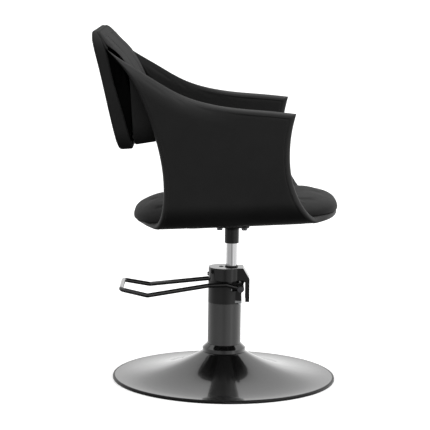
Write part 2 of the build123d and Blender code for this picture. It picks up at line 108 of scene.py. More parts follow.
def smooth_curve(points):
    """Natural cubic spline through points, as a function of 0..1 along its length."""
    p = np.array(points, float)
    t = run_length(p)
    t = t / t[-1]
    n = len(t)
    h = np.diff(t)
    system = np.eye(n)
    right = np.zeros_like(p)
    for k in range(1, n - 1):
        system[k, k - 1:k + 2] = h[k - 1], 2 * (h[k - 1] + h[k]), h[k]
        right[k] = 6 * ((p[k + 1] - p[k]) / h[k] - (p[k] - p[k - 1]) / h[k - 1])
    bend = np.linalg.solve(system, right)

    def at(u):
        k = int(np.clip(np.searchsorted(t, u) - 1, 0, n - 2))
        a = (t[k + 1] - u) / h[k]
        b = (u - t[k]) / h[k]
        curve = a * p[k] + b * p[k + 1]
        return curve + ((a ** 3 - a) * bend[k] + (b ** 3 - b) * bend[k + 1]) * h[k] ** 2 / 6
    return at


def even_curve(points):
    """The spline as a function of its arc length share, with its length and its sampled points."""
    raw = smooth_curve(points)
    samples = np.array([raw(u) for u in np.linspace(0, 1, CURVE_SAMPLES)])
    length = run_length(samples)
    share = length / length[-1]

    def at(u):
        return np.array([np.interp(u, share, samples[:, c]) for c in range(samples.shape[1])])
    return at, length[-1], samples


# ---- seat frame ----
def to_seat(x, z):
    """Row frame to seat frame: x forward of the ram, z above the shell's underside."""
    dx, dz = x - RAM_X, z - SEAT_Z
    c, s = math.cos(SEAT_TILT), math.sin(SEAT_TILT)
    return dx * c + dz * s, -dx * s + dz * c


def from_seat(x, y, z):
    """Seat frame to row frame, for arrays."""
    c, s = math.cos(SEAT_TILT), math.sin(SEAT_TILT)
    return np.stack([RAM_X + x * c - z * s, y + 0 * x, SEAT_Z + x * s + z * c], axis=-1)


# ---- meshes ----
def new_object(name, vertices, faces):
    """Smooth-shaded mesh object in the scene."""
    mesh = bpy.data.meshes.new(name)
    mesh.from_pydata([tuple(v) for v in vertices], [], faces)
    mesh.validate()
    mesh.update()
    obj = bpy.data.objects.new(name, mesh)
    bpy.context.scene.collection.objects.link(obj)
    mesh.polygons.foreach_set("use_smooth", [True] * len(mesh.polygons))
    return obj


WELD_GAP = 1e-5
CLOTH_FRAMES = 20


def weld(obj):
    """Join coinciding points, and face every side outwards."""
    bm = bmesh.new()
    bm.from_mesh(obj.data)
    bmesh.ops.remove_doubles(bm, verts=bm.verts, dist=WELD_GAP)
    bmesh.ops.recalc_face_normals(bm, faces=bm.faces)
    if bm.calc_volume(signed=True) < 0:
        bmesh.ops.reverse_faces(bm, faces=bm.faces)
    bm.to_mesh(obj.data)
    bm.free()


def bake(obj):
    """Apply every modifier of obj to its mesh."""
    depsgraph = bpy.context.evaluated_depsgraph_get()
    evaluated = obj.evaluated_get(depsgraph)
    mesh = bpy.data.meshes.new_from_object(evaluated)
    obj.modifiers.clear()
    obj.data = mesh
    mesh.polygons.foreach_set("use_smooth", [True] * len(mesh.polygons))


def points_of(obj):
    """Vertex positions of obj as an array."""
    co = np.zeros(len(obj.data.vertices) * 3)
    obj.data.vertices.foreach_get("co", co)
    return co.reshape(-1, 3)


def set_points(obj, co):
    obj.data.vertices.foreach_set("co", co.ravel())
    obj.data.update()


def subdivide(obj):
    """One level of smooth subdivision, applied."""
    modifier = obj.modifiers.new("subdivision", "SUBSURF")
    modifier.levels = 1
    bake(obj)


def inflate(obj, pinned, pressure, cap):
    """Cloth pressure swells the pad outwards, by no more than cap.

    pinned(points) gives each point's hold, from 0 for free to 1 for fixed.
    """
    rest = points_of(obj)
    hold = obj.vertex_groups.new(name="hold")
    for index, weight in enumerate(pinned(rest)):
        if weight > 0.01:
            hold.add([index], float(weight), "REPLACE")
    cloth = obj.modifiers.new("cloth", "CLOTH")
    cloth.settings.use_pressure = True
    cloth.settings.uniform_pressure_force = pressure
    cloth.settings.effector_weights.gravity = 0
    cloth.settings.tension_stiffness = 40
    cloth.settings.compression_stiffness = 25
    cloth.settings.bending_stiffness = 4
    cloth.settings.quality = 6
    cloth.settings.vertex_group_mass = "hold"
    cloth.collision_settings.use_collision = False
    scene = bpy.context.scene
    for number in range(1, CLOTH_FRAMES + 1):
        scene.frame_set(number)
    bake(obj)
    scene.frame_set(1)
    moved = points_of(obj) - rest
    outward = np.array([vertex.normal[:] for vertex in obj.data.vertices])
    moved = outward * np.maximum((moved * outward).sum(axis=1, keepdims=True), 0)
    size = np.linalg.norm(moved, axis=1, keepdims=True)
    moved *= np.minimum(1.0, cap / np.maximum(size, 1e-9))
    set_points(obj, rest + moved)


# ---- materials ----
def feed(socket, value):
    """Link an input socket from another socket, or set it to a plain value."""
    if isinstance(value, bpy.types.NodeSocket):
        socket.id_data.links.new(value, socket)
    else:
        socket.default_value = value


class Shader:
    """A node material under construction: node() adds one, link() joins two sockets."""

    def __init__(self, name):
        self.material = bpy.data.materials.new(name)
        self.material.use_nodes = True
        self.tree = self.material.node_tree
        self.bsdf = self.tree.nodes["Principled BSDF"]
        self.place = self.node("ShaderNodeTexCoord").outputs["Object"]

    def node(self, kind, **inputs):
        made = self.tree.nodes.new(kind)
        for key, value in inputs.items():
            feed(made.inputs[key.replace("_", " ")], value)
        return made

    def link(self, socket, name):
        self.tree.links.new(socket, self.bsdf.inputs[name])

    def set(self, **values):
        for key, value in values.items():
            self.bsdf.inputs[key.replace("_", " ")].default_value = value

    def noise(self, scale, detail=3.0, rough=0.5):
        made = self.node("ShaderNodeTexNoise", Vector=self.place, Scale=scale, Detail=detail,
                         Roughness=rough)
        return made.outputs["Fac"]

    def span(self, value, low, high, from_low=0.0, from_high=1.0):
        made = self.node("ShaderNodeMapRange", Value=value, From_Min=from_low, From_Max=from_high,
                         To_Min=low, To_Max=high)
        return made.outputs["Result"]

    def blend(self, factor, first, second):
        made = self.tree.nodes.new("ShaderNodeMix")
        made.data_type = "RGBA"
        for index, value in ((0, factor), (6, first), (7, second)):
            feed(made.inputs[index], value)
        return made.outputs[2]

    def bump(self, height, strength, distance, normal=None):
        made = self.node("ShaderNodeBump", Height=height, Strength=strength, Distance=distance)
        if normal is not None:
            self.tree.links.new(normal, made.inputs["Normal"])
        return made.outputs["Normal"]

    def rounded(self, radius):
        """Normals that soften every edge of a machined part."""
        made = self.node("ShaderNodeBevel", Radius=radius)
        made.samples = 6
        return made.outputs["Normal"]

    def edge_wear(self, low, high):
        """1 on exposed edges, 0 elsewhere."""
        geometry = self.tree.nodes.new("ShaderNodeNewGeometry")
        return self.span(geometry.outputs["Pointiness"], 0.0, 1.0, low, high)


def grey(value):
    return (value, value, value, 1.0)


def leather(name, dark, light, rough, shine):
    """Fine-grained upholstery leather: pebbled cells over a slow mottle, with a soft sheen."""
    s = Shader(name)
    mottle = s.noise(9.0, 4.0, 0.6)
    s.link(s.blend(s.span(mottle, 0, 1, 0.35, 0.65), grey(dark), grey(light)), "Base Color")
    s.link(s.span(s.noise(34.0, 3.0), rough - 0.04, rough + 0.05), "Roughness")
    cells = s.node("ShaderNodeTexVoronoi", Vector=s.place, Scale=620.0)
    pores = s.span(cells.outputs["Distance"], 1.0, 0.0, 0.15, 0.75)
    grain = s.bump(pores, 0.22, 0.0004)
    creases = s.bump(s.noise(140.0, 5.0, 0.65), 0.12, 0.0006, grain)
    s.link(creases, "Normal")
    s.set(Specular_IOR_Level=shine)
    return s.material


def paint(name, colour, rough, coat, shine=0.5):
    """Sprayed paint: faint orange peel under a clear top, slightly worn on exposed edges."""
    s = Shader(name)
    wear = s.edge_wear(0.53, 0.60)
    s.link(s.blend(wear, grey(colour), grey(colour * 2.2 + 0.01)), "Base Color")
    s.link(s.span(s.noise(18.0, 5.0), rough - 0.03, rough + 0.04), "Roughness")
    s.link(s.bump(s.noise(420.0, 2.0), 0.05, 0.0003, s.rounded(0.0007)), "Normal")
    s.set(Coat_Weight=coat, Coat_Roughness=max(rough * 0.35, 0.02), Specular_IOR_Level=shine)
    return s.material


def metal(name, colour, rough, edge=1.0):
    """Bright metal with fine turning marks and a slow change of polish; edge tints grazing reflections."""
    s = Shader(name)
    mapping = s.node("ShaderNodeMapping", Vector=s.place, Scale=(1.0, 1.0, 30.0))
    marks = s.node("ShaderNodeTexNoise", Vector=mapping.outputs["Vector"], Scale=60.0, Detail=4.0)
    s.link(s.span(marks.outputs["Fac"], rough * 0.7, rough * 1.5 + 0.01), "Roughness")
    s.link(s.blend(s.noise(25.0), colour, tuple(0.88 * c for c in colour[:3]) + (1.0,)), "Base Color")
    s.link(s.bump(marks.outputs["Fac"], 0.04, 0.0001, s.rounded(0.0004)), "Normal")
    s.set(Metallic=1.0, Specular_Tint=grey(edge))
    return s.material


def cast(name, colour, rough, shine=0.5):
    """Rough casting under thin paint or oil."""
    s = Shader(name)
    s.link(s.blend(s.noise(70.0, 6.0, 0.7), grey(colour), grey(colour * 1.6)), "Base Color")
    s.link(s.span(s.noise(200.0), rough - 0.08, rough + 0.1), "Roughness")
    s.link(s.bump(s.noise(650.0, 4.0, 0.7), 0.25, 0.0005, s.rounded(0.001)), "Normal")
    s.set(Specular_IOR_Level=shine)
    return s.material


def rubber(name, colour):
    """Moulded rubber with a fine matt grain."""
    s = Shader(name)
    s.link(s.blend(s.noise(50.0), grey(colour), grey(colour * 1.5)), "Base Color")
    s.link(s.span(s.noise(260.0, 4.0), 0.40, 0.56), "Roughness")
    s.link(s.bump(s.noise(900.0, 3.0), 0.15, 0.0002, s.rounded(0.0008)), "Normal")
    return s.material


def woven_board(name, colour):
    """Covering cloth under the seat: a fine plain weave."""
    s = Shader(name)
    waves = []
    for axis in ("X", "Y"):
        wave = s.node("ShaderNodeTexWave", Vector=s.place, Scale=420.0, Distortion=0.6)
        wave.bands_direction = axis
        waves.append(wave.outputs["Fac"])
    weave = s.node("ShaderNodeMath")
    weave.operation = "MAXIMUM"
    for socket, wave in zip(weave.inputs, waves):
        feed(socket, wave)
    s.link(s.blend(weave.outputs[0], grey(colour * 0.6), grey(colour)), "Base Color")
    s.link(s.bump(weave.outputs[0], 0.4, 0.0004), "Normal")
    s.set(Roughness=0.85, Specular_IOR_Level=0.1)
    return s.material


def plywood(name):
    """Raw birch ply: long grain with darker glue lines between the veneers."""
    s = Shader(name)
    mapping = s.node("ShaderNodeMapping", Vector=s.place, Scale=(4.0, 60.0, 60.0))
    grain = s.node("ShaderNodeTexNoise", Vector=mapping.outputs["Vector"], Scale=6.0, Detail=6.0)
    plies = s.node("ShaderNodeTexWave", Vector=s.place, Scale=260.0, Distortion=0.3)
    plies.bands_direction = "Z"
    wood = s.blend(grain.outputs["Fac"], (0.45, 0.30, 0.17, 1), (0.66, 0.48, 0.30, 1))
    s.link(s.blend(s.span(plies.outputs["Fac"], 0, 0.5), wood, (0.25, 0.15, 0.08, 1)), "Base Color")
    s.link(s.bump(grain.outputs["Fac"], 0.2, 0.0004), "Normal")
    s.set(Roughness=0.6)
    return s.material


LEATHER = leather("black_leather", 0.0095, 0.0130, 0.46, 0.37)
SEAT_LEATHER = leather("seat_leather", 0.0100, 0.0140, 0.60, 0.19)
BACK_LEATHER = leather("back_leather", 0.0230, 0.0290, 0.75, 0.12)
THREAD = leather("thread", 0.0150, 0.0220, 0.55, 0.42)
GLOSS = paint("gloss_black_paint", 0.0060, 0.13, 1.0)
DOME_PAINT = paint("dome_paint", 0.0060, 0.17, 1.0)
RIM_TRIM = paint("rim_trim", 0.0045, 0.25, 0.0, shine=0.2)
HOOD_PAINT = paint("hood_paint", 0.0035, 0.10, 0.90, shine=0.05)
COLUMN_PAINT = paint("column_paint", 0.0300, 0.24, 0.35)
CAST_BLACK = cast("black_cast", 0.0100, 0.36)
CHROME = metal("chrome", (0.80, 0.80, 0.81, 1.0), 0.08, edge=0.45)
DARK_STEEL = metal("dark_steel", (0.16, 0.16, 0.17, 1.0), 0.22)
ZINC = metal("zinc_steel", (0.66, 0.67, 0.68, 1.0), 0.20)
BRONZE = metal("bronze", (0.62, 0.44, 0.22, 1.0), 0.25)
IRON = cast("cast_iron", 0.05, 0.55)
RUBBER = rubber("black_rubber", 0.0090)
# Board colour: its own black, darkened further to 0.003 as painted shade, so that the back's slot and the
# cover under the seat render as black as shadow.
BOARD_WITH_SLOT_SHADE = woven_board("black_board", 0.0030)
PLY = plywood("plywood")
# Brackets and screws in the back's slot: black paint, darkened further to 0.0012 as painted shade, so that
# the slot renders black.
SLOT_SHADE_BLACK = cast("black_paint_with_slot_shade", 0.0012, 0.80, shine=0.08)

CAD_MATERIALS = {
    "rim_ring": RIM_TRIM, "base_dome": DOME_PAINT, "floor_pad": RUBBER, "base_plate": IRON,
    "base_bolts": ZINC, "base_collar": GLOSS,
    "pump_barrel": COLUMN_PAINT, "pump_foot": IRON, "ram_cylinder": ZINC, "pump_head": CAST_BLACK,
    "gland_bush": BRONZE, "rod_seal": RUBBER, "gland_ring": CAST_BLACK, "release_valve": ZINC,
    "valve_plate": ZINC, "valve_screws": ZINC, "plunger_guide": BRONZE, "plunger": ZINC,
    "plunger_spring": ZINC, "pivot_pin": DARK_STEEL, "pivot_nuts": DARK_STEEL, "pump_hood": HOOD_PAINT,
    "oil_plug": RUBBER, "hood_screw": ZINC, "pedal_yoke": CAST_BLACK, "pedal_bar": GLOSS,
    "ram_rod": CHROME, "ram_piston": BRONZE, "piston_seal": RUBBER, "thrust_washer": BRONZE,
    "seat_socket": CAST_BLACK, "flange_bolts": DARK_STEEL, "seat_bracket": CAST_BLACK,
    "dust_cover": BOARD_WITH_SLOT_SHADE, "cover_screws": ZINC, "seat_board": PLY, "tee_nuts": ZINC,
    "back_core": BOARD_WITH_SLOT_SHADE, "back_brackets": SLOT_SHADE_BLACK, "back_screws": SLOT_SHADE_BLACK,
}


def dress(obj, material):
    obj.data.materials.clear()
    obj.data.materials.append(material)


def dress_cad():
    for name, material in CAD_MATERIALS.items():
        dress(NODES[name], material)


# ---- arm shell ----
def developed(z):
    """Distance along the shell's outer section, from the middle of the floor to a height on the side."""
    if z >= BEND_OUT:
        return FLAT + BEND_LENGTH + z - BEND_OUT
    return FLAT + BEND_OUT * math.acos(1 - z / BEND_OUT)


def flat_pattern(edge):
    """Side outline points of the row frame in the shell's flat pattern (x, distance)."""
    seat_points = [to_seat(x, z) for x, z in edge]
    return [(x, developed(z)) for x, z in seat_points]


def section(s):
    """Outer and inner (y, z) of the shell's cross-section at pattern distance s."""
    turn = np.clip((s - FLAT) / BEND_OUT, 0, math.pi / 2)
    rise = np.maximum(s - FLAT - BEND_LENGTH, 0)
    level = np.minimum(s, FLAT)
    inner_flat = ARM_HALF - WALL - BEND_IN
    outer_y = level + BEND_OUT * np.sin(turn)
    outer_z = BEND_OUT * (1 - np.cos(turn)) + rise
    inner_y = level * inner_flat / FLAT + BEND_IN * np.sin(turn)
    inner_z = FLOOR_T + BEND_IN * (1 - np.cos(turn)) + rise
    return (outer_y, outer_z), (inner_y, inner_z)


def closing_in(x):
    """How far each side has come in towards the middle at row x, more and more towards the back."""
    t = np.maximum(-0.06 - x, 0)
    return 0.35 * t ** 2 + 1100 * t ** 8


def fade(t):
    """0 below 0, 1 above 1, and a soft step between."""
    t = np.clip(t, 0, 1)
    return t * t * (3 - 2 * t)


def edge_distance(points, outline):
    """Distance of each pattern point from a line of points."""
    best = np.full(len(points), 9.0)
    for a, b in zip(outline[:-1], outline[1:]):
        ab = b - a
        t = np.clip(((points - a) @ ab) / max(ab @ ab, 1e-12), 0, 1)
        best = np.minimum(best, np.linalg.norm(points - a - t[:, None] * ab, axis=1))
    return best


# Distances from the shell's edge at which its grid has lines.
EDGE_STEPS = [0, 0.0007, 0.0026, 0.0056, 0.0095, 0.0125, 0.0140, 0.0150, 0.0160, 0.0178, 0.022, 0.030]
SHELL_COLUMNS = 44
SHELL_ROWS = 64


def close_set(length, count, first):
    """Shares 0..1 of a length: even, but in edge steps at its end and, if first is true, at its start."""
    close = EDGE_STEPS[-1] / length
    near = close if first else 0.0
    start = [step / length for step in EDGE_STEPS] if first else [0.0]
    middle = [near + (1 - close - near) * k / count for k in range(1, count)]
    return start + middle + [1 - step / length for step in EDGE_STEPS[::-1]]


def shell_pattern():
    """Grid over half of the flat pattern, its outline and its top line. Rows run from the middle up."""
    def lip(points):
        return [(to_seat(x, SEAT_Z)[0], s) for x, s in points]
    rear, rear_length, rear_line = even_curve(lip(REAR_LIP) + flat_pattern(REAR_EDGE))
    front, front_length, front_line = even_curve(lip(FRONT_LIP) + flat_pattern(FRONT_EDGE))
    top, _, top_line = even_curve(flat_pattern(TOP_EDGE))
    middle = rear(0)[0], front(0)[0]
    outline = np.concatenate([rear_line, top_line, front_line[::-1]])

    def patch(u, v):
        floor = np.array([middle[0] + (middle[1] - middle[0]) * u, 0.0])
        ends = (1 - u) * rear(v) + u * front(v)
        levels = (1 - v) * floor + v * top(u)
        low = (1 - u) * rear(0) + u * front(0)
        high = (1 - u) * rear(1) + u * front(1)
        return ends + levels - (1 - v) * low - v * high

    grid = []
    rows = SHELL_ROWS + len(EDGE_STEPS)
    for j in range(rows):
        width = np.linalg.norm(front(j / rows) - rear(j / rows))
        row = []
        for u in close_set(width, SHELL_COLUMNS, True):
            height = rear_length + (front_length - rear_length) * u
            row.append(patch(u, close_set(height, SHELL_ROWS, False)[j]))
        grid.append(row)
    return np.array(grid), outline, top_line


def shell_surfaces():
    """Outer and inner grids of one half, rounded at the edges and drawn in along the border seam."""
    pattern, outline, top_line = shell_pattern()
    shape = pattern.shape[:2]
    flat = pattern.reshape(-1, 2)
    distance = edge_distance(flat, outline)
    x, s = flat[:, 0], np.maximum(flat[:, 1], 0)
    up_side = np.clip((s - FLAT) / BEND_LENGTH, 0, 1)
    radius = FLOOR_ROUND + (WALL / 2 - FLOOR_ROUND) * up_side
    roll = WALL / 2 + HORN_ROLL * np.clip((-0.02 - x) / 0.2, 0, 1)
    below_top = edge_distance(flat, top_line)
    share = np.minimum(distance / radius, below_top / roll)
    fullness = np.sqrt(1 - (1 - np.minimum(share, 1)) ** 2)
    seam = SEAM_DEPTH * np.exp(-((distance - LEATHER_SEAM) / SEAM_WIDTH) ** 2)
    (outer_y, outer_z), (inner_y, inner_z) = section(s)
    outer = from_seat(x, outer_y, outer_z)
    inner = from_seat(x, inner_y, inner_z)
    lean = HORN_LEAN * fade((0.06 - x) / 0.18) * fade((x + 0.29) / 0.06)
    lean = lean * np.maximum(1 - below_top / LEAN_BAND, 0) ** 2
    for side, leaning in ((outer, lean), (inner, 0)):
        side[:, 1] -= (closing_in(side[:, 0]) + leaning) * np.minimum(side[:, 1] / FLAT, 1)
    middle = (outer + inner) / 2
    reach = outer - middle
    depth = np.linalg.norm(reach, axis=1)
    share = fullness * (1 - seam / depth)
    outer = middle + reach * share[:, None]
    inner = middle - reach * share[:, None]
    return outer.reshape(*shape, 3), inner.reshape(*shape, 3)


def grid_faces(rows, columns, start, flip):
    """Quads of a grid of points that begins at index start."""
    faces = []
    for j in range(rows - 1):
        for i in range(columns - 1):
            a = start + j * columns + i
            quad = (a, a + 1, a + columns + 1, a + columns)
            faces.append(quad[::-1] if flip else quad)
    return faces


def arm_shell():
    """The upholstered ribbon: under the cushion, up both sides and back into the horns."""
    outer, inner = shell_surfaces()
    rows, columns = outer.shape[:2]
    vertices = []
    faces = []
    for mirror in (-1, 1):
        for grid, inside in ((outer, False), (inner, True)):
            start = len(vertices)
            points = grid.reshape(-1, 3) * (1, mirror, 1)
            vertices.extend(points)
            faces.extend(grid_faces(rows, columns, start, inside != (mirror == 1)))
    shell = new_object("arm_shell_leather", vertices, faces)
    weld(shell)
    subdivide(shell)
    dress(shell, LEATHER)
    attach(shell, "seat")
    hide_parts("arm_shell", "front_boxing", "rear_boxing")
    beside_seam = EDGE_STEPS.index(LEATHER_SEAM) - 2
    shell_stitches(outer, inner, beside_seam)


def shell_stitches(outer, inner, edge):
    """Stitches on both faces of the shell, along the grid lines numbered edge from its rims."""
    lines = []
    for mirror in (-1, 1):
        for grid, other in ((outer, inner), (inner, outer)):
            rims = ((slice(None), edge), (-1 - edge, slice(edge, -edge)), (slice(None), -1 - edge))
            for rim in rims:
                points = grid[rim] * (1, mirror, 1)
                outward = (grid[rim] - other[rim]) * (1, mirror, 1)
                lines.append((points, outward))
    stitching("arm_shell_stitching", lines)


# ---- padded pieces ----
MARK_SPAN = 0.0032                # share of a side between the close-set lines at a mark
GROOVE_WIDTH = 0.0016             # half width of a seam's groove on a pad


def side_shares(count, marks=()):
    """Shares 0..1 along a side: evenly spread, with close-set lines on each side of every mark."""
    shares = [k / count for k in range(count + 1)]
    for mark in marks:
        shares = [v for v in shares if abs(v - mark) > MARK_SPAN * 2.2]
        shares += [mark + MARK_SPAN * k for k in (-1.6, -0.7, 0, 0.7, 1.6)]
    return np.array(sorted(shares))


def rounded_ring(a, b, radius, across, up):
    """Rounded rectangle as four sides, each running from one corner's middle to the next corner's."""
    radius = max(radius, 1e-4)
    ring = []
    for quarter in range(4):
        half, reach = (a, b) if quarter % 2 == 0 else (b, a)
        straight, arc = half - radius, radius * math.pi / 4
        shares = across if quarter % 2 == 0 else up
        turn = math.pi / 2 * quarter
        for share in shares[:-1]:
            d = (2 * share - 1) * (straight + arc)
            bend = max(abs(d) - straight, 0) / radius
            u = math.copysign(min(abs(d), straight) + radius * math.sin(bend), d)
            v = -(reach - radius * (1 - math.cos(bend)))
            ring.append((u * math.cos(turn) - v * math.sin(turn), u * math.sin(turn) + v * math.cos(turn)))
    return np.array(ring)


def length_shares(points):
    """Share 0..1 of a line's length at each of its points."""
    steps = np.linalg.norm(np.diff(points, axis=0), axis=1)
    return np.concatenate([[0], np.cumsum(steps)]) / steps.sum()


def fill_ring(ring, nx, ny):
    """Grid of points that spans a ring of 2 (nx + ny) points, sides nx, ny, nx, ny."""
    low = ring[:nx + 1]
    right = ring[nx:nx + ny + 1]
    high = ring[nx + ny:2 * nx + ny + 1][::-1]
    left = np.concatenate([ring[2 * nx + ny:], ring[:1]])[::-1]
    u = length_shares(low)[None, :, None]
    v = length_shares(left)[:, None, None]
    corners = (1 - v) * ((1 - u) * low[0] + u * low[-1]) + v * ((1 - u) * high[0] + u * high[-1])
    rails = (1 - v) * low[None] + v * high[None] + (1 - u) * left[:, None] + u * right[:, None]
    return rails - corners


def band_faces(rings, count, start=0, flip=False):
    """Quads between each of the rings of count points and the next."""
    faces = []
    for k in range(rings - 1):
        low, high = start + k * count, start + (k + 1) * count
        for i in range(count):
            j = (i + 1) % count
            quad = (low + i, low + j, high + j, high + i)
            faces.append(quad[::-1] if flip else quad)
    return faces


def pillow(name, first_cap, rings, last_cap):
    """Closed body: a grid cap, rings of equal counts round the edge, and the other cap."""
    vertices = []
    faces = []
    for cap, flip in ((first_cap, True), (last_cap, False)):
        rows, columns = cap.shape[:2]
        start = len(vertices)
        vertices.extend(cap.reshape(-1, 3))
        faces.extend(grid_faces(rows, columns, start, flip))
    faces.extend(band_faces(len(rings), len(rings[0]), len(vertices)))
    for ring in rings:
        vertices.extend(ring)
    body = new_object(name, vertices, faces)
    weld(body)
    return body


def groove(distance):
    """Depth of a sewn seam's groove at a distance from it."""
    return SEAM_DEPTH * np.exp(-(distance / GROOVE_WIDTH) ** 2)


# Section of a stitch: (place along its half length, thickness, height above the leather).
STITCH_PROFILE = [(-1.0, 0.25, -0.9), (-0.7, 0.85, -0.1), (0.0, 1.0, 0.3), (0.7, 0.85, -0.1),
                  (1.0, 0.25, -0.9)]
STITCH_SIDES = 6


def stitch(tail, head, up):
    """Rings of one stitch, its ends pulled into the leather."""
    along = (head - tail) / 2
    across = np.cross(up, along / np.linalg.norm(along))
    rings = []
    for reach, size, lift in STITCH_PROFILE:
        centre = (head + tail) / 2 + along * reach + up * lift * THREAD_R
        for k in range(STITCH_SIDES):
            angle = 2 * math.pi * k / STITCH_SIDES
            round_it = across * math.cos(angle) + up * math.sin(angle)
            rings.append(centre + size * THREAD_R * round_it)
    return rings


def stitching(name, lines):
    """Thread stitches laid along lines of (points, outward directions)."""
    vertices = []
    faces = []
    for points, outward in lines:
        run = run_length(points)

        def at(place, values):
            return np.array([np.interp(place, run, values[:, k]) for k in range(3)])
        count = int(run[-1] / STITCH_GAP)
        for place in (np.arange(count) + 0.5) * run[-1] / count:
            up = at(place, outward)
            start = len(vertices)
            vertices.extend(stitch(at(place - STITCH / 2, points), at(place + STITCH / 2, points),
                                   up / np.linalg.norm(up)))
            faces.extend(band_faces(len(STITCH_PROFILE), STITCH_SIDES, start))
            faces.append(tuple(range(start + STITCH_SIDES - 1, start - 1, -1)))
            faces.append(tuple(range(len(vertices) - STITCH_SIDES, len(vertices))))
    thread = new_object(name, vertices, faces)
    dress(thread, THREAD)
    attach(thread, "seat")


def tube(name, rings):
    """Closed tube through rings of equal counts, with flat ends."""
    count = len(rings[0])
    vertices = [point for ring in rings for point in ring]
    faces = band_faces(len(rings), count, flip=True)
    faces.append(tuple(range(count)))
    faces.append(tuple(range(len(vertices) - count, len(vertices)))[::-1])
    return new_object(name, vertices, faces)


def finish_pad(pad, material, pinned, pressure, cap, node):
    """Swell, smooth and dress a pad that takes the place of a CAD node."""
    inflate(pad, pinned, pressure, cap)
    subdivide(pad)
    dress(pad, material)
    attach(pad, "seat")
    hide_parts(node)


# ---- seat cushion ----
CUSHION_A = 0.2705                # half length of the cushion's plan
CUSHION_B = 0.2470                # half width
CUSHION_MID = 0.0095              # middle, forward of the ram in the seat frame
CUSHION_POWER = 3.0               # 2 for an ellipse, more for a squarer plan
CUSHION_FULLNESS = 2.5            # 2 for a round shoulder, more for a squarer one
CUSHION_CROWN = 0.0530            # heights above the shell's underside
CUSHION_SHOULDER = 0.0485
CUSHION_WIDEST = 0.0185
CUSHION_SEAM = 0.0105
CUSHION_FOOT = 0.0160
CUSHION_ROUND = 0.090             # how far in the shoulder reaches
SHOULDER_STEPS = 14
CUSHION_PRESSURE = 2.5            # cloth pressure, and the most that it may swell the cushion
CUSHION_SWELL = 0.004
# Below its widest line the cushion tucks in over the lip's seam to a raised foot, as (inset, height).
CUSHION_UNDER = [(0.060, CUSHION_FOOT), (0.040, 0.0158), (0.026, 0.0145), (0.014, 0.0112),
                 (0.0075, CUSHION_SEAM), (0.0050, CUSHION_SEAM + 0.0006), (0.0022, CUSHION_SEAM + 0.0032),
                 (0.0004, CUSHION_WIDEST - 0.0030)]


def superellipse_ring(a, b, across, up):
    """Superellipse with the same four sides as a rounded ring."""
    square = rounded_ring(a, b, 0, across, up)
    x, y = square[:, 0] / a, square[:, 1] / b
    angle = np.arctan2(y, x)
    c, s = np.cos(angle), np.sin(angle)
    r = (np.abs(c) ** CUSHION_POWER + np.abs(s) ** CUSHION_POWER) ** (-1 / CUSHION_POWER)
    return np.stack([a * r * c, b * r * s], axis=1)


def cushion_top(points):
    """Height of the crowned top over plan points of the seat frame, measured from the cushion's middle."""
    ratio = (np.abs(points / (CUSHION_A, CUSHION_B)) ** CUSHION_POWER).sum(axis=-1)
    edge = np.clip(1 - ratio ** (1 / CUSHION_POWER), 0, 1) * CUSHION_B
    share = np.clip(edge / CUSHION_ROUND, 0, 1)
    full = (1 - (1 - share) ** CUSHION_FULLNESS) ** (1 / CUSHION_FULLNESS)
    shoulder = CUSHION_WIDEST + (CUSHION_SHOULDER - CUSHION_WIDEST) * full
    rise = np.clip(edge / CUSHION_B, 0, 1)
    return shoulder + (CUSHION_CROWN - CUSHION_SHOULDER) * (1 - (1 - rise) ** 2.5)


def seat_cushion():
    """Crowned cushion: full at the nose and rear, tucked in above the shell's lip."""
    across, up = side_shares(44), side_shares(40)
    nx, ny = len(across) - 1, len(up) - 1

    def ring(inset):
        return superellipse_ring(CUSHION_A - inset, CUSHION_B - inset, across, up)

    def raised(points, heights):
        heights = np.broadcast_to(heights, points.shape[:-1])
        return from_seat(CUSHION_MID + points[..., 0], points[..., 1], heights)

    def pinned(points):
        _, height = to_seat(points[:, 0], points[:, 2])
        return np.clip((CUSHION_WIDEST - height) / 0.005, 0, 1)
    rings = [raised(ring(inset), height) for inset, height in CUSHION_UNDER]
    for k in range(SHOULDER_STEPS + 1):
        flat = ring(CUSHION_ROUND * (1 - math.cos(math.radians(90) * k / SHOULDER_STEPS)))
        rings.append(raised(flat, cushion_top(flat)))
    under = fill_ring(ring(CUSHION_UNDER[0][0]), nx, ny)
    top = fill_ring(ring(CUSHION_ROUND), nx, ny)
    pad = pillow("seat_cushion_leather", raised(under, CUSHION_FOOT), rings, raised(top, cushion_top(top)))
    finish_pad(pad, SEAT_LEATHER, pinned, CUSHION_PRESSURE, CUSHION_SWELL, "seat_cushion")


# ---- backrest pads ----
BACK_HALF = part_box("back_rear_pad")[1].y
BACK_CORNER = 0.055               # rounding of the back's four corners
PAD_SEAM = 0.017                  # border seam of each pad, from its edge
WING_SEAM = 0.098                 # upright seams of the front pad, from the middle
JOIN_LOW = (-0.311, 0.903)        # where the pads part at each side, (x, z)
JOIN_HIGH = (-0.333, 0.936)       # where they join over the top
PIPING = (0.0036, 0.0042)         # half width and half height of the piping there
PIPING_IN = 0.0035                # piping's middle, from the pads' outline
PAD_PRESSURE = 2.0                # cloth pressure, and the most that it may swell a pad
PAD_SWELL = 0.003

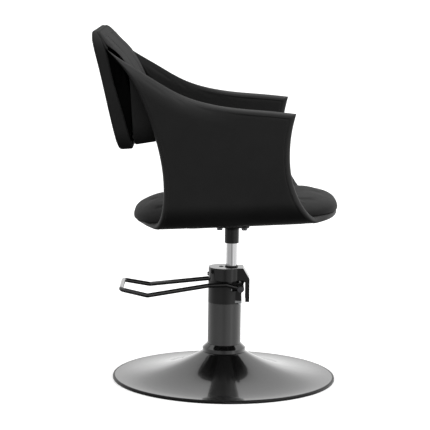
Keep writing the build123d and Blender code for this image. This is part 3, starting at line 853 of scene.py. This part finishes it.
# Side curves of each pad from foot to top, (x, z) in the row frame.
REAR_PAD_BACK = [(-0.276, 0.637), (-0.298, 0.722), (-0.316, 0.799), (-0.333, 0.868), (-0.346, 0.922),
                 (-0.349, 0.941)]
REAR_PAD_FRONT = [(-0.241, 0.640), (-0.253, 0.686), (-0.282, 0.783), (-0.299, 0.845), (-0.312, 0.899),
                  (-0.334, 0.938)]
FRONT_PAD_BACK = [(-0.236, 0.650), (-0.243, 0.730), (-0.2475, 0.800), (-0.259, 0.858), (-0.288, 0.893),
                  (-0.308, 0.905), (-0.331, 0.938)]
FRONT_PAD_FRONT = [(-0.176, 0.660), (-0.196, 0.728), (-0.220, 0.787), (-0.250, 0.850), (-0.275, 0.884),
                   (-0.303, 0.911), (-0.324, 0.938)]

# Insets of the rings across each face, close-set at the border seam.
FACE_INSETS = [0.060, 0.040, 0.028] + [PAD_SEAM + step for step in (0.0030, 0.0012, 0, -0.0012, -0.0030)]
AWAY = 1.0                        # an inset that is nowhere near the border seam


class PadPattern:
    """Flat pattern (y, h) of a pad that stands between two side curves.

    seams are distances of upright seams from the middle; puff is how far the faces swell between seams.
    """

    def __init__(self, back_edge, front_edge, seams, puff):
        self.back_at, self.height, _ = even_curve(back_edge)
        self.front_at, _, _ = even_curve(front_edge)
        self.seams = seams
        self.puff = puff
        marks = [0.5 + side * y / (2 * (BACK_HALF - PAD_SEAM)) for y in seams for side in (-1, 1)]
        self.across, self.up = side_shares(44, marks), side_shares(30)

    def ring(self, inset):
        """Closed ring of the pattern, set in from its outline."""
        half = self.height / 2
        flat = rounded_ring(BACK_HALF - inset, half - inset, BACK_CORNER - inset, self.across, self.up)
        return flat + (0, half)

    def place(self, flat, depth, from_front, sunk=False):
        """Pattern points set depth below the back or front face; sunk ones go no deeper than halfway."""
        shape = flat.shape[:-1]
        depth = np.broadcast_to(depth, shape).reshape(-1)
        made = []
        for (y, h), below in zip(flat.reshape(-1, 2), depth):
            up = np.clip(h / self.height, 0, 1)
            low, high = self.back_at(up), self.front_at(up)
            thick = np.linalg.norm(high - low)
            inward = min(below, thick / 2) if sunk else below
            share = 1 - inward / thick if from_front else inward / thick
            x, z = low + (high - low) * share
            made.append((x, y, z))
        return np.array(made).reshape(*shape, 3)

    def face_depth(self, flat, inset):
        """Seam grooves and the swell between them, as depth below the face."""
        y, h = flat[..., 0], flat[..., 1]
        edge = np.minimum(BACK_HALF - np.abs(y), np.minimum(h, self.height - h))
        swell = np.clip((edge - PAD_SEAM) / 0.05, 0, 1)
        depth = -self.puff * swell * (2 - swell)
        for seam in self.seams:
            near = np.abs(np.abs(y) - seam)
            depth = depth + groove(near) + self.puff * 0.9 * np.exp(-(near / 0.016) ** 2) * swell
        return depth + groove(inset - PAD_SEAM)


def pad_body(name, pattern, roundings):
    """Boxed pad; roundings are the radii of its back and front edges."""
    nx, ny = len(pattern.across) - 1, len(pattern.up) - 1
    halves = []
    for from_front, radius in zip((False, True), roundings):
        rings = []
        for inset in FACE_INSETS:
            flat = pattern.ring(inset)
            rings.append(pattern.place(flat, pattern.face_depth(flat, inset), from_front))
        for angle in np.radians([0, 22, 45, 68, 90]):
            flat = pattern.ring(radius * (1 - math.sin(angle)))
            rings.append(pattern.place(flat, radius * (1 - math.cos(angle)), from_front, sunk=True))
        inner = fill_ring(pattern.ring(FACE_INSETS[0]), nx, ny)
        halves.append((rings, pattern.place(inner, pattern.face_depth(inner, AWAY), from_front)))
    (back_rings, back_cap), (front_rings, front_cap) = halves
    sides = [back_rings[-1] * (1 - share) + front_rings[-1] * share for share in (0.2, 0.4, 0.6, 0.8)]
    return pillow(name, back_cap, back_rings + sides + front_rings[::-1], front_cap)


def pad_hold(pattern):
    """Hold for inflate: full from each seam outwards, easing off over the next few millimetres."""
    shares = np.linspace(0, 1, 160)
    middle = np.array([(pattern.back_at(t) + pattern.front_at(t)) / 2 for t in shares])

    def pinned(points):
        nearest = np.linalg.norm(points[:, None, ::2] - middle, axis=2).argmin(axis=1)
        out_y = np.abs(points[:, 1]) - BACK_HALF + BACK_CORNER
        out_h = (np.abs(shares[nearest] - 0.5) - 0.5) * pattern.height + BACK_CORNER
        inset = BACK_CORNER - np.hypot(np.maximum(out_y, 0), np.maximum(out_h, 0))
        inset = inset - np.minimum(np.maximum(out_y, out_h), 0)
        upright = [np.abs(np.abs(points[:, 1]) - y) for y in pattern.seams]
        slack = np.min([inset - PAD_SEAM] + upright, axis=0)
        return np.clip(1 - (slack - STITCH_SIDE - 0.001) / 0.006, 0, 1)
    return pinned


def pad_stitching(name, pattern):
    """Stitches outside the border seam and on both sides of each upright seam, on both faces."""
    border = pattern.ring(PAD_SEAM - STITCH_SIDE)
    runs = [(np.concatenate([border, border[:1]]), PAD_SEAM - STITCH_SIDE)]
    levels = np.linspace(PAD_SEAM, pattern.height - PAD_SEAM, 60)
    for y in pattern.seams:
        for side in (-1, 1):
            for offset in (-STITCH_SIDE, STITCH_SIDE):
                upright = np.stack([np.full(len(levels), side * y + offset), levels], axis=1)
                runs.append((upright, AWAY))
    lines = []
    for from_front in (False, True):
        for run, inset in runs:
            depth = pattern.face_depth(run, inset)
            surface = pattern.place(run, depth, from_front)
            below = pattern.place(run, depth + 0.003, from_front)
            lines.append((surface, surface - below))
    stitching(name, lines)


def back_pad(name, node, pattern, roundings):
    """A tight pad with its stitching, in the place of a CAD node."""
    pad = pad_body(name + "_leather", pattern, roundings)
    pad_stitching(name + "_stitching", pattern)
    finish_pad(pad, BACK_LEATHER, pad_hold(pattern), PAD_PRESSURE, PAD_SWELL, node)


def top_piping():
    """Piping that closes the pads together over the top, from one slot round to the other."""
    low, high = np.array(JOIN_LOW), np.array(JOIN_HIGH)
    drop = np.linalg.norm(high - low)
    reach = BACK_HALF - PIPING_IN
    corner = BACK_CORNER - PIPING_IN
    path = [(-reach, drop), (-reach, corner)]
    for angle in np.radians(np.arange(6, 91, 6)):
        path.append((-reach + corner * (1 - math.cos(angle)), corner * (1 - math.sin(angle))))
    path += [(y, 0.0) for y in np.linspace(-reach + corner, 0, 9)[1:]]
    path += [(-y, below) for y, below in path[-2::-1]]
    path = np.array(path)
    along = np.gradient(path, axis=0)
    along /= np.linalg.norm(along, axis=1)[:, None]
    down = (low - high) / drop
    front = np.array([-down[1], 0, down[0]])
    front *= np.sign(front[0])
    rings = []
    for (y, below), (run_y, run_down) in zip(path, along):
        centre = np.array([high[0] + down[0] * below, y, high[1] + down[1] * below])
        outward = np.array([-down[0] * run_y, -run_down, -down[1] * run_y])
        rings.append([centre + PIPING[0] * front * math.cos(a) + PIPING[1] * outward * math.sin(a)
                      for a in np.radians(np.arange(0, 360, 30))])
    piping = tube("back_top_piping", rings)
    subdivide(piping)
    dress(piping, BACK_LEATHER)
    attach(piping, "seat")


def back_pads():
    rear = PadPattern(REAR_PAD_BACK, REAR_PAD_FRONT, (), 0.0030)
    back_pad("back_rear", "back_rear_pad", rear, (0.008, 0.004))
    front = PadPattern(FRONT_PAD_BACK, FRONT_PAD_FRONT, (WING_SEAM,), 0.0040)
    back_pad("back_front", "back_front_pad", front, (0.004, 0.009))
    top_piping()


# ---- pump spring ----
WIRE = 0.0005                     # radius of the spring's wire
COILS = 5
TURN_STEPS = 24                   # rings of the mesh in each turn


def spring():
    """Coil round the pump's plunger, in the place of the CAD spring, from its foot on the guide up to its
    head.
    """
    low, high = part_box("plunger_spring")
    centre = (low + high) / 2
    reach = (high.x - low.x) / 2 - WIRE
    rise = high.z - low.z - 2 * WIRE
    rings = []
    for share in np.linspace(0, 1, COILS * TURN_STEPS + 1):
        turn = 2 * math.pi * COILS * share
        outward = Vector((math.cos(turn), math.sin(turn), 0))
        middle = Vector((centre.x, centre.y, low.z + WIRE + rise * share)) + outward * reach
        rings.append([middle + outward * WIRE * math.cos(a) + Vector((0, 0, WIRE * math.sin(a)))
                      for a in np.radians(np.arange(0, 360, 45))])
    coil = tube("plunger_spring_coil", rings)
    dress(coil, ZINC)
    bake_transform(coil)
    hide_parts("plunger_spring")


# ---- stage, light and camera ----
# Studio brightness over height, as (upward part of the direction, level).
FRONT_SKY = [(-1.0, 0.05), (-0.45, 0.08), (-0.20, 0.55), (0.0, 0.62), (0.35, 0.62), (0.60, 0.80),
             (0.80, 1.50), (1.0, 1.50)]
BACK_SKY = [(-1.0, 0.05), (-0.50, 0.30), (-0.25, 0.95), (0.18, 0.95), (0.32, 0.66), (0.45, 0.68),
            (0.65, 0.85), (1.0, 0.85)]
SIDE_LIGHT = 0.22                 # how much brighter the studio is ahead of the chair than behind it
CAMERA_GAP = 0.24                 # width of the dim strip round the camera
CAMERA_DIM = 0.50                 # share of the light missing in it
STRIP_LIGHT = (0.77, 0.10, 0.45)  # tall strip to the camera's right: sideways part, width, level
FLOOR_REACH = 60.0                # half the side of the floor
CAMERA_PLACE = (-0.029, -4.85, 1.15)
CAMERA_PITCH = math.radians(-8.28)
CAMERA_ROLL = math.radians(0.8)
CAMERA_LENS = 153.2


def pale_floor():
    """Pale matt sweep with a slight glow of its own, so that only a soft contact shadow shows."""
    s = Shader("pale_floor")
    s.link(s.blend(s.noise(3.0), grey(0.92), grey(0.94)), "Base Color")
    s.set(Roughness=0.9, Specular_IOR_Level=0.1, Emission_Color=grey(1.0), Emission_Strength=0.45)
    return s.material


def stage():
    """Floor that takes shadows, but neither lights the chair nor shows in its paint."""
    corners = [(x * FLOOR_REACH, y * FLOOR_REACH, 0) for x, y in ((-1, -1), (1, -1), (1, 1), (-1, 1))]
    floor = new_object("floor", corners, [(0, 1, 2, 3)])
    dress(floor, pale_floor())
    floor.visible_diffuse = False
    floor.visible_glossy = False


class Field:
    """Builds a value over directions from plain arithmetic on sockets."""

    def __init__(self, tree):
        self.tree = tree

    def op(self, kind, *values):
        made = self.tree.nodes.new("ShaderNodeMath")
        made.operation = kind
        for socket, value in zip(made.inputs, values):
            feed(socket, value)
        return made.outputs[0]

    def curve(self, value, stops):
        """Straight lines between (value, level) stops, for values -1..1."""
        made = self.tree.nodes.new("ShaderNodeValToRGB")
        shifted = self.op("MULTIPLY_ADD", value, 0.5, 0.5)
        self.tree.links.new(shifted, made.inputs[0])
        elements = made.color_ramp.elements
        while len(elements) < len(stops):
            elements.new(0.5)
        for element, (position, level) in zip(elements, stops):
            element.position = (position + 1) / 2
            element.color = (level / 2, level / 2, level / 2, 1)
        return self.op("MULTIPLY", made.outputs[0], 2.0)


def studio_world():
    """Soft studio: bright sweep behind and overhead, dim below and towards the camera, white where seen."""
    world = bpy.data.worlds.new("studio")
    world.use_nodes = True
    bpy.context.scene.world = world
    tree = world.node_tree
    field = Field(tree)
    split = tree.nodes.new("ShaderNodeSeparateXYZ")
    tree.links.new(tree.nodes.new("ShaderNodeTexCoord").outputs["Generated"], split.inputs[0])
    x, y, z = split.outputs[0], split.outputs[1], split.outputs[2]

    def strip(offset, width):
        """1 where offset is 0 on the camera's side, falling off over width."""
        narrow = field.op("MULTIPLY", field.op("MULTIPLY", offset, offset), -1 / width ** 2)
        return field.op("MULTIPLY", field.op("EXPONENT", narrow), field.op("LESS_THAN", y, 0.0))
    behind = field.op("MAXIMUM", field.op("MULTIPLY_ADD", y, 1.2, 0.35), 0.0)
    behind = field.op("SMOOTH_MIN", 1.0, behind, 0.1)
    back = field.op("MULTIPLY", field.curve(z, BACK_SKY), behind)
    front = field.op("MULTIPLY", field.curve(z, FRONT_SKY), field.op("SUBTRACT", 1.0, behind))
    level = field.op("ADD", back, front)
    level = field.op("MULTIPLY", level, field.op("MULTIPLY_ADD", x, SIDE_LIGHT, 1.0))
    dimming = field.op("MULTIPLY_ADD", strip(x, CAMERA_GAP), -CAMERA_DIM, 1.0)
    level = field.op("MULTIPLY", level, dimming)
    place, width, glow = STRIP_LIGHT
    level = field.op("MULTIPLY_ADD", strip(field.op("SUBTRACT", x, place), width), glow, level)
    seen = tree.nodes.new("ShaderNodeLightPath").outputs["Is Camera Ray"]
    level = field.op("MULTIPLY_ADD", seen, field.op("SUBTRACT", 1.0, level), level)
    tree.links.new(level, tree.nodes["Background"].inputs["Color"])


def soft_light(name, place, target, size, power):
    data = bpy.data.lights.new(name, "AREA")
    data.shape = "DISK"
    data.size = size
    data.energy = power
    light = bpy.data.objects.new(name, data)
    light.location = place
    light.rotation_euler = (Vector(target) - Vector(place)).to_track_quat("-Z", "Y").to_euler()
    bpy.context.scene.collection.objects.link(light)


def lights():
    studio_world()
    soft_light("overhead", place=(0.2, 0.3, 3.6), target=(0, 0, 0.5), size=2.6, power=25)


def camera():
    """Side view from the chair's right, a little above the seat, with a long lens."""
    data = bpy.data.cameras.new("camera")
    data.sensor_width = 36.0
    data.lens = CAMERA_LENS
    eye = bpy.data.objects.new("camera", data)
    pitch = Matrix.Rotation(math.radians(90) + CAMERA_PITCH, 4, "X")
    roll = Matrix.Rotation(CAMERA_ROLL, 4, "Z")
    eye.matrix_world = Matrix.Translation(CAMERA_PLACE) @ pitch @ roll
    bpy.context.scene.collection.objects.link(eye)
    bpy.context.scene.camera = eye
    bpy.context.scene.view_settings.view_transform = "Standard"


dress_cad()
arm_shell()
seat_cushion()
back_pads()
spring()
stage()
lights()
camera()
